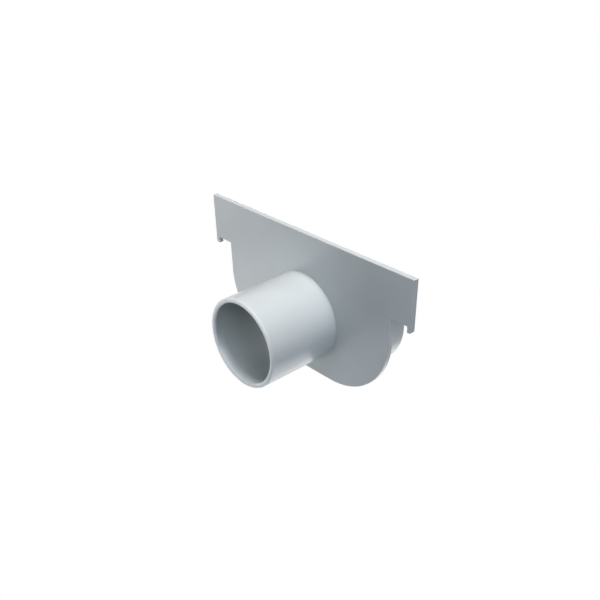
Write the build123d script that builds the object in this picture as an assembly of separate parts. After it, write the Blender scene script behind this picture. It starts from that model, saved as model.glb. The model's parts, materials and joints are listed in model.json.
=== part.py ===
from build123d import *
import os
from math import radians, tan

# End cap with a round outlet for a drainage channel or box gutter, moulded in one piece.
# The flat plate closes the channel's end. Its wings cover the channel's wide upper edges, and
# a hook at each wing tip reaches down outside that edge. All its sides lean in a little towards
# the bottom. A collar behind the plate plugs into the trough. The spigot in front takes the
# socket of a drain pipe.
#
# Millimetres. The plate's rear face, which butts against the channel, lies on y = 0.
# The channel is on the +Y side and the spigot points to -Y, on an axis through the origin.

# Plate; the width is that of its top edge
plate_width = 152.5
plate_thickness = 3.0
wing_height = 26.0
body_width = 124.6
body_height = 55.5
body_corner_radius = 40.8
side_lean_angle = 1.5
edge_round = 0.35

# Hooks under the wing tips
hook_width = 2.5
hook_drop = 3.4
hook_bevel = 0.7
notch_radius = 0.5

# Spigot, with the outside diameter of a standard 50 mm pipe
pipe_diameter = 50.0
pipe_wall = 2.6
spigot_length = 44.2
axis_depth = 49.0
spigot_root_radius = 0.8
mouth_inner_round = 1.0
mouth_outer_round = 1.1

# Channel that the collar plugs into
channel_wall = 2.0
fit_clearance = 0.2
trough_knee_height = 28.2
trough_knee_radius = 29.3
trough_floor_width = 52.0
trough_floor_radius = 12.0

# Collar
collar_depth = 11.4
collar_wall = 2.5
collar_tip_round = 0.8
collar_root_radius = 0.6

# Heights above the spigot's axis, and what else follows from the sizes
top_z = axis_depth
wing_z = top_z - wing_height
bottom_z = wing_z - body_height
mouth_y = -plate_thickness - spigot_length
pipe_radius = pipe_diameter / 2
bore_radius = pipe_radius - pipe_wall
collar_inset = channel_wall + fit_clearance
side_lean = tan(radians(side_lean_angle))
tolerance = 0.001


def symmetric_face(right_side):
    """Face between a right-hand outline, listed from the top down, and its mirror image."""
    left_side = [(-x, z) for x, z in reversed(right_side)]
    return make_face(Polyline(*right_side, *left_side, close=True))


def corners_at(outline, height, count=2):
    """The corners of a flat outline that lie nearest to a height."""
    return outline.vertices().sort_by(lambda v: abs(v.Y - height))[:count]


def rings_at(shape, y, radius):
    """The circular edges of a shape around the spigot's axis, at one place along it."""
    circles = shape.edges().filter_by(GeomType.CIRCLE)
    on_plane = circles.filter_by(lambda e: abs(e.center().Y - y) < tolerance)
    return on_plane.filter_by(lambda e: abs(e.radius - radius) < tolerance)


def edges_along(shape, outline):
    """The edges of a shape whose ends and middle lie on the border of an outline."""
    border = outline.wire()
    marks = (0, 0.5, 1)
    return shape.edges().filter_by(
        lambda e: all(border.distance_to(e @ mark) < tolerance for mark in marks)
    )


# Plate: a round-cornered body, and a band above it that ends in the two hooked wings
def body_outline():
    foot_x = body_width / 2 - body_height * side_lean
    tapered = symmetric_face([(body_width / 2, wing_z), (foot_x, bottom_z)])
    return fillet(corners_at(tapered, bottom_z), body_corner_radius)


def wing_outline():
    tip_z = wing_z - hook_drop

    def end_x(z):
        return plate_width / 2 - (top_z - z) * side_lean

    right_side = [
        (end_x(top_z), top_z),
        (end_x(tip_z + hook_bevel), tip_z + hook_bevel),
        (end_x(tip_z) - hook_bevel, tip_z),
        (end_x(tip_z) - hook_width, tip_z),
        (end_x(wing_z) - hook_width, wing_z),
    ]
    return symmetric_face(right_side)


def make_plate():
    outline = body_outline() + wing_outline()
    outline = fillet(corners_at(outline, wing_z, count=4), notch_radius)
    plate = extrude(Plane.XZ * outline, plate_thickness)
    faces = plate.faces().sort_by(Axis.Y)
    return fillet(faces[0].edges() + faces[-1].edges(), edge_round)


# Spigot, open from its mouth through the plate
def add_spigot(plate):
    front = Plane.XZ.offset(plate_thickness)
    spigot = extrude(front * Circle(pipe_radius), spigot_length)
    bore = extrude(Plane.XZ * Circle(bore_radius), plate_thickness + spigot_length)
    body = plate + spigot - bore
    body = fillet(rings_at(body, -plate_thickness, pipe_radius), spigot_root_radius)
    body = fillet(rings_at(body, mouth_y, bore_radius), mouth_inner_round)
    return fillet(rings_at(body, mouth_y, pipe_radius), mouth_outer_round)


# Collar: a wall around the trough's section, whose flanks slope to a narrow floor
def trough_outline(top):
    floor_z = bottom_z + collar_inset
    knee_z = floor_z + trough_knee_height
    side_x = body_width / 2 - collar_inset
    right_side = [
        (side_x + (top - wing_z) * side_lean, top),
        (side_x - (wing_z - knee_z) * side_lean, knee_z),
        (trough_floor_width / 2, floor_z),
    ]
    outline = symmetric_face(right_side)
    outline = fillet(corners_at(outline, knee_z), trough_knee_radius)
    return fillet(corners_at(outline, floor_z), trough_floor_radius)


def add_collar(body):
    # The section is drawn taller than the collar, whose open top is then cut level
    spare = 2 * collar_wall
    outside = trough_outline(wing_z + spare)
    inside = offset(outside, -collar_wall)
    collar = extrude(Plane.XZ * (outside - inside), -collar_depth)
    tip = collar.faces().sort_by(Axis.Y)[-1]
    collar = fillet(tip.edges(), collar_tip_round)
    cut = Pos(0, collar_depth / 2, wing_z + spare) * Box(plate_width, 2 * collar_depth, 2 * spare)
    body = body + (collar - cut)
    return fillet(edges_along(body, Plane.XZ * inside), collar_root_radius)


end_cap = add_collar(add_spigot(make_plate()))

os.makedirs("parts", exist_ok=True)
export_step(end_cap, "parts/end_cap.step")
print("end_cap", end_cap.bounding_box(), "volume", round(end_cap.volume))
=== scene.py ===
import json
import math

import bpy
from mathutils import Matrix, Vector


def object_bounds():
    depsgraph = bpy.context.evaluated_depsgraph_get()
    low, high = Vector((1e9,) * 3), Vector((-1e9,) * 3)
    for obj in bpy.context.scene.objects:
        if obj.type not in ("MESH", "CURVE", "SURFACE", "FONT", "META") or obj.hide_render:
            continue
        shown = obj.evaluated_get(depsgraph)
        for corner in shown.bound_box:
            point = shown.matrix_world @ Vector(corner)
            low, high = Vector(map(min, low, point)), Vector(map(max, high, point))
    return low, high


# Grey plastic end cap for a drainage channel, with a round outlet spigot.
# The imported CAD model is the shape. This file gives it its plastic, the light and the camera.

print("Loading the frame")
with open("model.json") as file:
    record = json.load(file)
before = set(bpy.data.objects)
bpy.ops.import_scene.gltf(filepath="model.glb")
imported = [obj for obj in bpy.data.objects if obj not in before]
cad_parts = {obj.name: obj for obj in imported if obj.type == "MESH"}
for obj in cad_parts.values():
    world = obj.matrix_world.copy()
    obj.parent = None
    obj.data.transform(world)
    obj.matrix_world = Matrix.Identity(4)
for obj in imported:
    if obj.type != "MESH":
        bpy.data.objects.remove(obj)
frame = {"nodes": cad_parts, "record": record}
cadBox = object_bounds()
scene = bpy.context.scene
mm = 0.001

# places that the model gives, in mm: the spigot points to -Y, and its axis is at the origin
mounts = {mount["name"]: mount for mount in frame["record"]["mounts"]}
spigotRadius = mounts["spigot"]["dims"]["r_mm"]
boreRadius = mounts["outlet_bore"]["dims"]["r_mm"]
mouth = cadBox[0].y / mm
topEdge = cadBox[1].z / mm
wingTip = cadBox[1].x / mm


# Camera, so that the cap lies in the picture as it does in the photo

cameraSet = {
    "azimuth": 47.96,               # degrees round from the front, towards the right side
    "elevation": 28.42,
    "roll": -1.0,
    "lens": 50.03,
    "sensor": 36,                   # mm wide
    "aim": (11.12, -15.55, 18.21),  # mm, the point at the middle of the picture
    "distance": 433.2,              # mm
    "clipStart": 10,                # mm
}


def directionFrom(azimuth, elevation):
    # degrees: 0 is the front, 90 the right side, and up is positive
    around, up = math.radians(azimuth), math.radians(elevation)
    return Vector((math.sin(around) * math.cos(up), -math.cos(around) * math.cos(up), math.sin(up)))


def makeCamera(s):
    azimuth, roll = math.radians(s["azimuth"]), math.radians(s["roll"])
    back = directionFrom(s["azimuth"], s["elevation"])
    level = Vector((math.cos(azimuth), math.sin(azimuth), 0))
    upright = back.cross(level)
    right = math.cos(roll) * level + math.sin(roll) * upright
    up = back.cross(right)
    data = bpy.data.cameras.new("camera")
    data.lens = s["lens"]
    data.sensor_width = s["sensor"]
    data.clip_start = s["clipStart"] * mm
    camera = bpy.data.objects.new("camera", data)
    scene.collection.objects.link(camera)
    place = (Vector(s["aim"]) + s["distance"] * back) * mm
    camera.matrix_world = Matrix.Translation(place) @ Matrix((right, up, back)).transposed().to_4x4()
    scene.camera = camera


print("Camera")
makeCamera(cameraSet)


# Node helpers

def newMaterial(name):
    material = bpy.data.materials.new(name)
    material.use_nodes = True
    tree = material.node_tree
    tree.nodes.clear()
    return material, tree


def addNode(tree, kind, inputs=None, **settings):
    # an input is either another node's socket or a plain value
    node = tree.nodes.new(kind)
    for key, value in settings.items():
        setattr(node, key, value)
    for key, value in (inputs or {}).items():
        if isinstance(value, bpy.types.NodeSocket):
            tree.links.new(value, node.inputs[key])
        else:
            node.inputs[key].default_value = value
    return node


def noise(tree, coords, size, detail):
    # size is the width of one patch, in mm
    node = addNode(tree, "ShaderNodeTexNoise", {
        "Vector": coords, "Scale": 1 / (size * mm), "Detail": detail, "Roughness": 0.5,
    })
    return node.outputs["Fac"]


def remap(tree, value, fromRange, toRange=(0, 1)):
    node = addNode(tree, "ShaderNodeMapRange", {
        "Value": value,
        "From Min": fromRange[0], "From Max": fromRange[1],
        "To Min": toRange[0], "To Max": toRange[1],
    })
    return node.outputs["Result"]


def mathNode(tree, operation, *values):
    return addNode(tree, "ShaderNodeMath", dict(enumerate(values)), operation=operation).outputs[0]


def times(tree, first, *others):
    product = first
    for other in others:
        product = mathNode(tree, "MULTIPLY", product, other)
    return product


def blend(tree, factor, a, b):
    # the mix node's colour sockets are its inputs 6 and 7 and its output 2
    return addNode(tree, "ShaderNodeMix", {0: factor, 6: a, 7: b}, data_type="RGBA").outputs[2]


def bump(tree, height, distance, inputs=None):
    settings = {"Height": height, "Strength": 1.0, "Distance": distance * mm}
    return addNode(tree, "ShaderNodeBump", {**settings, **(inputs or {})}).outputs[0]


def span(start, steps):
    # two places in metres, each a step in mm from the start
    return tuple((start + step) * mm for step in steps)


# Plastic of the end cap. Sizes and places are in mm. Of each pair of places, the effect is
# nothing at the first and full at the second.

plastic = {
    # tone all over: soft patches, a finer mottle, a few dull specks
    "light": (0.615, 0.665, 0.685, 1),
    "dark": (0.575, 0.628, 0.650, 1),
    "cloudSize": 38,
    "cloudRange": (0.35, 0.65),
    "cloudShare": 0.6,              # of the tone, and the mottle has the rest
    "mottleSize": 4.5,
    "speck": (0.50, 0.545, 0.565, 1),
    "speckSize": 1.1,
    "speckRange": (0.70, 0.78),
    "speckStrength": 0.35,

    # painted shade, darker faces: the wings' ends and, less so, the top edge
    "paintedShade": (0.47, 0.515, 0.535, 1),
    "facing": (0.80, 0.97),         # how squarely a face looks sideways or upwards
    "tipFade": (-3.75, -2.25),      # from the wings' tips
    "topFade": (-1.5, -0.5),        # from the top edge
    "topShade": 0.6,

    # painted shade: a darker ring in the corner where the spigot meets the plate
    "rootOffset": 0.4,              # outside the spigot's wall, the middle of the ring
    "rootReach": (1.3, 0.4),        # to each side of that
    "rootFront": (-4.2, -3.4),      # along the spigot from the plate's rear face
    "rootBack": (-1.5, -2.2),       # keeps the ring off that rear face
    "rootShade": 0.5,

    # paler outer edges
    "wornEdge": (0.70, 0.735, 0.75, 1),
    "edgeWidth": 0.6,
    "edgeTurn": (0.995, 0.85),      # cosine between the rounded and the true normal
    "edgeWear": 0.35,
    "edgePatchSize": 6,
    "edgePatchRange": (0.4, 0.62),
    "edgePatchLeast": 0.25,

    # painted shade: a darker bore, whose start has painted light in its lower part
    "bore": (0.47, 0.52, 0.535, 1),
    "boreWall": (0.6, 0.1),         # from the bore's radius
    "boreFade": (6.2, 0.7),         # in from the mouth
    "boreFoot": (-3, -13),          # height over the axis

    # painted light: a pale lip of the mouth, which reaches its outside only low down
    "lipLight": (0.88, 0.915, 0.93, 1),
    "lipFade": (1.7, 0.6),          # in from the mouth
    "lipRim": (0.2, -0.7),          # from the spigot's radius
    "lipFoot": (4, -8),             # height over the axis
    "lipPatchSize": 7,
    "lipPatchRange": (0.35, 0.6),
    "lipPatchLevels": (0.8, 1.0),

    # gloss, fine grain and a very soft waviness
    "roughness": (0.225, 0.265),    # above about 0.27 the denoised picture turns blotchy
    "smudgeSize": 20,
    "smudgeRange": (0.3, 0.7),
    "grainSize": 0.35,
    "grainHeight": 0.010,
    "waveSize": 16,
    "waveHeight": 0.060,
    "ior": 1.5,
}


def makePlastic(s):
    material, tree = newMaterial("greyPlastic")
    coords = addNode(tree, "ShaderNodeTexCoord").outputs["Object"]

    # soft patches of tone, then a finer mottle, then a few dull specks
    clouds = remap(tree, noise(tree, coords, s["cloudSize"], detail=2), s["cloudRange"])
    mottle = noise(tree, coords, s["mottleSize"], detail=4)
    cloudPart = times(tree, clouds, s["cloudShare"])
    mottlePart = times(tree, mottle, 1 - s["cloudShare"])
    colour = blend(tree, mathNode(tree, "ADD", cloudPart, mottlePart), s["dark"], s["light"])
    specks = noise(tree, coords, s["speckSize"], detail=1)
    specks = remap(tree, specks, s["speckRange"], (0, s["speckStrength"]))
    colour = blend(tree, specks, colour, s["speck"])

    # places on the cap: along the spigot, height over its axis, and radius from it
    place = addNode(tree, "ShaderNodeSeparateXYZ", {"Vector": coords}).outputs
    sideways, along, height = place["X"], place["Y"], place["Z"]
    across = addNode(tree, "ShaderNodeVectorMath", {0: coords, 1: (1, 0, 1)}, operation="MULTIPLY")
    fromAxis = addNode(tree, "ShaderNodeVectorMath", {0: across.outputs[0]}, operation="LENGTH")
    radius = fromAxis.outputs["Value"]

    # painted shade: the wings' end faces and, less so, the top edge are darker
    trueNormal = addNode(tree, "ShaderNodeNewGeometry").outputs["True Normal"]
    normal = addNode(tree, "ShaderNodeSeparateXYZ", {"Vector": trueNormal}).outputs
    endFace = remap(tree, mathNode(tree, "ABSOLUTE", normal["X"]), s["facing"])
    nearTip = remap(tree, mathNode(tree, "ABSOLUTE", sideways), span(wingTip, s["tipFade"]))
    colour = blend(tree, times(tree, endFace, nearTip), colour, s["paintedShade"])
    topFace = remap(tree, normal["Z"], s["facing"], (0, s["topShade"]))
    nearTop = remap(tree, height, span(topEdge, s["topFade"]))
    colour = blend(tree, times(tree, topFace, nearTop), colour, s["paintedShade"])

    # painted shade: a darker ring in the corner where the spigot meets the plate
    fromRing = mathNode(tree, "SUBTRACT", radius, (spigotRadius + s["rootOffset"]) * mm)
    ring = remap(tree, mathNode(tree, "ABSOLUTE", fromRing), span(0, s["rootReach"]))
    front = remap(tree, along, span(0, s["rootFront"]))
    back = remap(tree, along, span(0, s["rootBack"]))
    cornerShade = times(tree, ring, front, back)
    colour = blend(tree, times(tree, cornerShade, s["rootShade"]), colour, s["paintedShade"])

    # outer edges a little paler: where the rounded normal leaves the true one, but not in that corner
    rounded = addNode(tree, "ShaderNodeBevel", {"Radius": s["edgeWidth"] * mm}, samples=6).outputs[0]
    turn = addNode(tree, "ShaderNodeVectorMath", {0: rounded, 1: trueNormal}, operation="DOT_PRODUCT")
    edge = remap(tree, turn.outputs["Value"], s["edgeTurn"])
    patchy = noise(tree, coords, s["edgePatchSize"], detail=3)
    patchy = remap(tree, patchy, s["edgePatchRange"], (s["edgePatchLeast"], 1))
    outsideRoot = mathNode(tree, "SUBTRACT", 1.0, cornerShade)
    colour = blend(tree, times(tree, edge, patchy, s["edgeWear"], outsideRoot), colour, s["wornEdge"])

    # painted shade: the bore is a little darker than the outside
    wall = remap(tree, radius, span(boreRadius, s["boreWall"]))
    colour = blend(tree, wall, colour, s["bore"])

    # painted light: the mouth is pale: its lip, the start of the bore, and low down its outside as well,
    # in soft patches
    lipTop = remap(tree, radius, span(spigotRadius, s["lipRim"]))
    lipLow = remap(tree, height, span(0, s["lipFoot"]))
    lipRing = remap(tree, along, span(mouth, s["lipFade"]))
    lipLight = times(tree, lipRing, mathNode(tree, "MAXIMUM", lipTop, lipLow))
    startRing = remap(tree, along, span(mouth, s["boreFade"]))
    start = times(tree, startRing, wall, remap(tree, height, span(0, s["boreFoot"])))
    # soft patches in that painted light
    lipPatches = noise(tree, coords, s["lipPatchSize"], detail=3)
    lipPatches = remap(tree, lipPatches, s["lipPatchRange"], s["lipPatchLevels"])
    colour = blend(tree, times(tree, mathNode(tree, "MAXIMUM", lipLight, start), lipPatches), colour, s["lipLight"])

    # the gloss varies softly, over a fine grain and a very soft waviness
    smudge = noise(tree, coords, s["smudgeSize"], detail=2)
    roughness = remap(tree, smudge, s["smudgeRange"], s["roughness"])
    wave = bump(tree, noise(tree, coords, s["waveSize"], detail=1), s["waveHeight"])
    grain = bump(tree, noise(tree, coords, s["grainSize"], detail=2), s["grainHeight"], {"Normal": wave})

    shader = addNode(tree, "ShaderNodeBsdfPrincipled", {
        "Base Color": colour, "Roughness": roughness, "IOR": s["ior"], "Normal": grain,
    })
    addNode(tree, "ShaderNodeOutputMaterial", {"Surface": shader.outputs[0]})
    return material


print("Plastic")
endCap = frame["nodes"]["end_cap"]
greyPlastic = makePlastic(plastic)
for slot in endCap.material_slots:
    slot.material = greyPlastic


# Floor and backdrop: one white bowl that only the camera sees

backdrop = {
    "floorRadius": 2.0,                 # metres
    "floorRings": (0.05, 0.2, 0.6, 1),  # shares of that radius
    "wallRadius": 3.5,
    "wallHeight": 3.5,
    "wallSteps": 24,
    "turns": 96,
    "gap": 0.0002,                      # under the lowest point of the cap
    "white": (1, 1, 1, 1),
    "glow": 1.0,
}


def makeBowl(s):
    # a flat floor that curves up into a round wall
    rings = [(s["floorRadius"] * share, 0.0) for share in s["floorRings"]]
    sweep = s["wallRadius"] - s["floorRadius"]
    for step in range(1, s["wallSteps"] + 1):
        angle = math.pi / 2 * step / s["wallSteps"]
        rings.append((s["floorRadius"] + sweep * math.sin(angle), s["wallHeight"] * (1 - math.cos(angle))))
    turns = s["turns"]
    floorZ = cadBox[0].z - s["gap"]
    points = [(0, 0, floorZ)]
    for radius, height in rings:
        for turn in range(turns):
            angle = 2 * math.pi * turn / turns
            points.append((radius * math.cos(angle), radius * math.sin(angle), floorZ + height))
    faces = [(0, 1 + turn, 1 + (turn + 1) % turns) for turn in range(turns)]
    for ring in range(len(rings) - 1):
        for turn in range(turns):
            a = 1 + ring * turns + turn
            b = 1 + ring * turns + (turn + 1) % turns
            faces.append((a, a + turns, b + turns, b))
    mesh = bpy.data.meshes.new("floor")
    mesh.from_pydata(points, [], faces)
    return mesh


def makePaper(s):
    material, tree = newMaterial("whitePaper")
    glow = addNode(tree, "ShaderNodeEmission", {"Color": s["white"], "Strength": s["glow"]})
    # clear from outside, so that the cap can be seen from below as well
    clear = addNode(tree, "ShaderNodeBsdfTransparent")
    outside = addNode(tree, "ShaderNodeNewGeometry").outputs["Backfacing"]
    paper = addNode(tree, "ShaderNodeMixShader", {0: outside, 1: glow.outputs[0], 2: clear.outputs[0]})
    addNode(tree, "ShaderNodeOutputMaterial", {"Surface": paper.outputs[0]})
    return material


def makeBackdrop(s):
    mesh = makeBowl(s)
    mesh.materials.append(makePaper(s))
    floor = bpy.data.objects.new("floor", mesh)
    scene.collection.objects.link(floor)
    floor.visible_diffuse = False
    floor.visible_glossy = False
    floor.visible_shadow = False


print("Floor")
makeBackdrop(backdrop)


# Studio light: soft round lamps around the cap, all aimed at one point

tints = {
    "warm": (1, 0.92, 0.84),
    "cool": (0.88, 0.93, 1),
    "white": (1, 1, 1),
}
lampAim = (0, -15, 8)       # mm
# azimuth and elevation in degrees, counted as for the camera; distance and size in mm; power in watts
lamps = {
    "overhead": {"from": (0, 90), "distance": 600, "size": 200, "power": 2.4, "tint": "warm"},
    "topRight": {"from": (60, 75), "distance": 600, "size": 200, "power": 1.0, "tint": "cool"},
    "frontNear": {"from": (0, 0), "distance": 220, "size": 120, "power": 0.08, "tint": "cool"},
    "rightWide": {"from": (90, 30), "distance": 600, "size": 400, "power": 0.7, "tint": "cool"},
    "rightFront": {"from": (65, 30), "distance": 600, "size": 200, "power": 0.7, "tint": "cool"},
    "leftLow": {"from": (300, -30), "distance": 600, "size": 200, "power": 0.3, "tint": "white"},
    "leftLevel": {"from": (300, -10), "distance": 600, "size": 200, "power": 0.3, "tint": "white"},
    "underLeft": {"from": (300, -60), "distance": 600, "size": 400, "power": 0.6, "tint": "cool"},
    "underRight": {"from": (120, -60), "distance": 600, "size": 400, "power": 0.6, "tint": "cool"},
    "underBack": {"from": (180, -60), "distance": 600, "size": 400, "power": 0.4, "tint": "white"},
    "behind": {"from": (180, 15), "distance": 600, "size": 200, "power": 1.8, "tint": "white"},
}


def makeLamp(name, s):
    data = bpy.data.lights.new(name, "AREA")
    data.shape = "DISK"
    data.size = s["size"] * mm
    data.energy = s["power"]
    data.color = tints[s["tint"]]
    lamp = bpy.data.objects.new(name, data)
    scene.collection.objects.link(lamp)
    outward = directionFrom(*s["from"])
    lamp.location = (Vector(lampAim) + s["distance"] * outward) * mm
    lamp.rotation_mode = "QUATERNION"
    lamp.rotation_quaternion = (-outward).to_track_quat("-Z", "Y")
    lamp.visible_camera = False


# The white room around the cap shows only in its gloss

room = {
    "colour": (1, 1, 1, 1),
    "strength": 1.0,
}


def makeRoom(s):
    world = bpy.data.worlds.new("room")
    scene.world = world
    world.use_nodes = True
    glow = world.node_tree.nodes["Background"]
    glow.inputs["Color"].default_value = s["colour"]
    glow.inputs["Strength"].default_value = s["strength"]
    world.cycles_visibility.diffuse = False


print("Lights")
for lampName, lampSettings in lamps.items():
    makeLamp(lampName, lampSettings)
makeRoom(room)
scene.view_settings.view_transform = "Standard"
scene.view_settings.look = "None"

print("Finishing")
